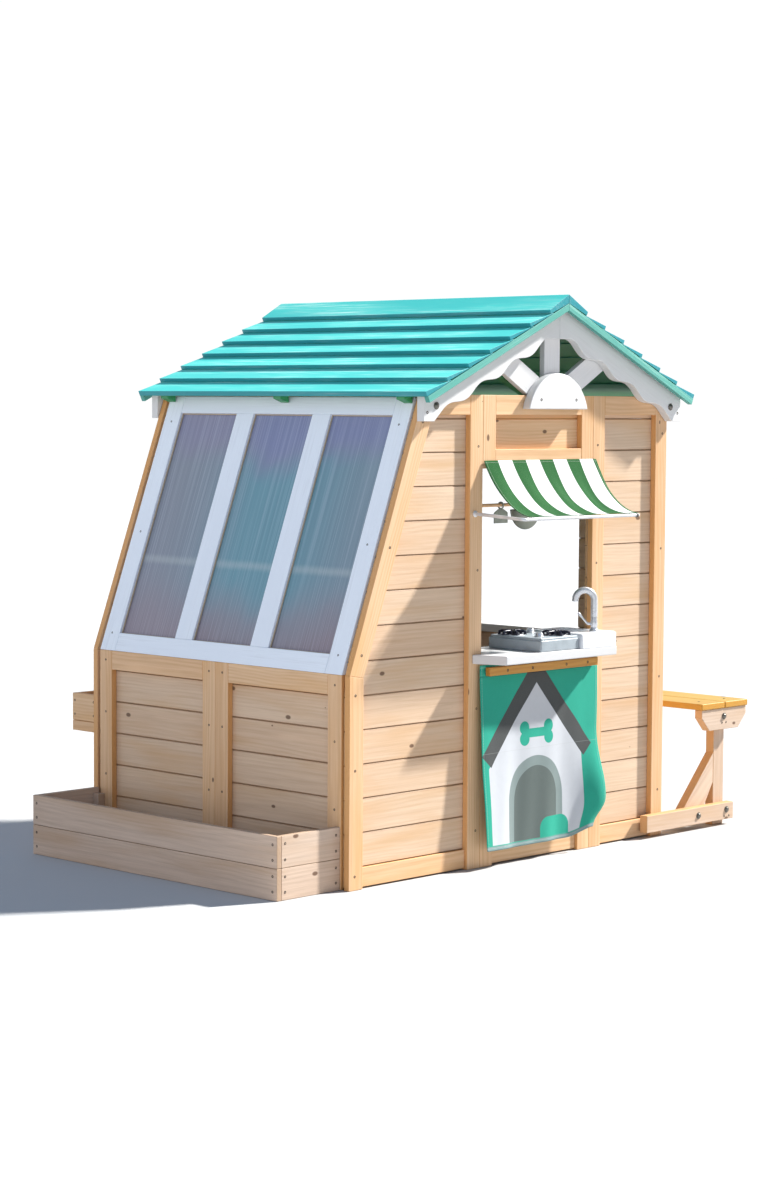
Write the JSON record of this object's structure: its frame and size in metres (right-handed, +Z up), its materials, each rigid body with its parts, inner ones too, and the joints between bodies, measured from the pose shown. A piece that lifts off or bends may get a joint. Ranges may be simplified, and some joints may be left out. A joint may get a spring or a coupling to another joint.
{
  "type": "wooden playhouse",
  "caption": "Small wooden playhouse with a leaning greenhouse wall, planters, a play kitchen under an awning, a curtained bay, a half door and an outside bench.",
  "frame": {"origin": "middle of the bounding box's footprint, on the ground", "axes": "+X runs along the kitchen wall from the greenhouse side to the bench, +Y runs from the kitchen wall to the back wall with the door, +Z is up"},
  "size_m": [1.8284, 1.2584, 1.4981],
  "materials": {
    "cedar": "oiled softwood, satin",
    "cedar_planks": "oiled softwood planks, satin",
    "seat_wood": "varnished softwood, satin",
    "teal_roof": "painted teal, satin",
    "green_frame": "painted dark green, satin",
    "white_paint": "painted white, satin",
    "white_plastic": "white, gloss",
    "awning_bar": "pale grey powder coat",
    "frosted_pane": "fluted translucent polycarbonate",
    "stove_grey": "grey, satin",
    "silver_plastic": "silver plated",
    "awning_cloth": "woven, green and white stripes",
    "curtain_cloth": "woven, printed",
    "utensil_grey": "grey",
    "hinge_steel": "zinc plated"
  },
  "bodies": {
    "house": {"awning_fabric": "awning_cloth", "awning_frame": "awning_bar", "back_header": "cedar", "back_left_panel": "cedar", "back_right_panel": "cedar", "bargeboard_back": "white_paint", "bargeboard_front": "white_paint", "bench_bracket_front": "cedar", "bench_bracket_rear": "cedar", "bench_leg_front": "cedar", "bench_leg_rear": "cedar", "bench_rail_front": "cedar", "bench_rail_rear": "cedar", "bench_wall_frame": "cedar", "bench_wall_planks": "cedar_planks", "curtain_batten": "cedar", "faucet_base": "silver_plastic", "flower_box": "cedar", "greenhouse_frame": "cedar", "greenhouse_planks": "cedar_planks", "kitchen_base_frame": "cedar", "kitchen_counter": "white_paint", "kitchen_header": "cedar", "kitchen_left_frame": "cedar", "kitchen_left_planks": "cedar_planks", "kitchen_right_frame": "cedar", "kitchen_right_planks": "cedar_planks", "planter_end_front": "cedar", "planter_end_rear": "cedar", "planter_long_side": "cedar", "rake_board_back": "teal_roof", "rake_board_front": "teal_roof", "roof_frame": "green_frame", "roof_slats_left": "teal_roof", "roof_slats_right": "teal_roof", "seat_board_inner": "seat_wood", "seat_board_outer": "seat_wood", "sink_box": "white_plastic", "snack_counter": "white_paint", "spoke_centre": "white_paint", "spoke_left": "white_paint", "spoke_right": "white_paint", "stove_box": "stove_grey", "sunburst_disc": "white_paint", "utensil_rail": "cedar", "window_frame": "white_paint", "window_pane_front": "frosted_pane", "window_pane_middle": "frosted_pane", "window_pane_rear": "frosted_pane"},
    "door": {"door_leaf": "cedar", "door_hinge_lower": "hinge_steel", "door_hinge_upper": "hinge_steel", "door_handle": "hinge_steel"},
    "curtain_flap": {"curtain": "curtain_cloth"},
    "spout": {"faucet_spout": "silver_plastic"},
    "lever": {"faucet_lever": "silver_plastic"},
    "knob_front": {"stove_knob_front": "silver_plastic"},
    "knob_rear": {"stove_knob_rear": "silver_plastic"},
    "turner": {"spatula": "utensil_grey"},
    "ladle": {"ladle": "utensil_grey"}
  },
  "joints": [
    {"name": "door_swing", "type": "hinge", "parent": "house", "child": "door", "pos_m": [0.23106, 0.53557, 0.3], "axis": [0, 0, -1], "range_deg": [0, 100]},
    {"name": "curtain_lift", "type": "hinge", "parent": "house", "child": "curtain_flap", "pos_m": [0.00774, -0.46899, 0.5031], "axis": [-1, 0, 0], "range_deg": [0, 80]},
    {"name": "spout_swivel", "type": "hinge", "parent": "house", "child": "spout", "pos_m": [0.18232, -0.50859, 0.6536], "axis": [0, 0, 1], "range_deg": [-75, 100]},
    {"name": "tap_lever_turn", "type": "hinge", "parent": "house", "child": "lever", "pos_m": [0.17481, -0.50229, 0.62092], "axis": [-0.766, 0.6428, 0], "range_deg": [-40, 40]},
    {"name": "front_knob_turn", "type": "hinge", "parent": "house", "child": "knob_front", "pos_m": [-0.03354, -0.49999, 0.59942], "axis": [0, 0, 1], "range_deg": [0, 270]},
    {"name": "rear_knob_turn", "type": "hinge", "parent": "house", "child": "knob_rear", "pos_m": [0.04558, -0.40023, 0.59942], "axis": [0, 0, 1], "range_deg": [0, 270]},
    {"name": "turner_swing", "type": "hinge", "parent": "house", "child": "turner", "pos_m": [-0.12608, -0.44299, 0.946], "axis": [1, 0, 0], "range_deg": [-35, 35]},
    {"name": "ladle_swing", "type": "hinge", "parent": "house", "child": "ladle", "pos_m": [-0.02967, -0.44299, 0.946], "axis": [1, 0, 0], "range_deg": [-35, 35]}
  ]
}
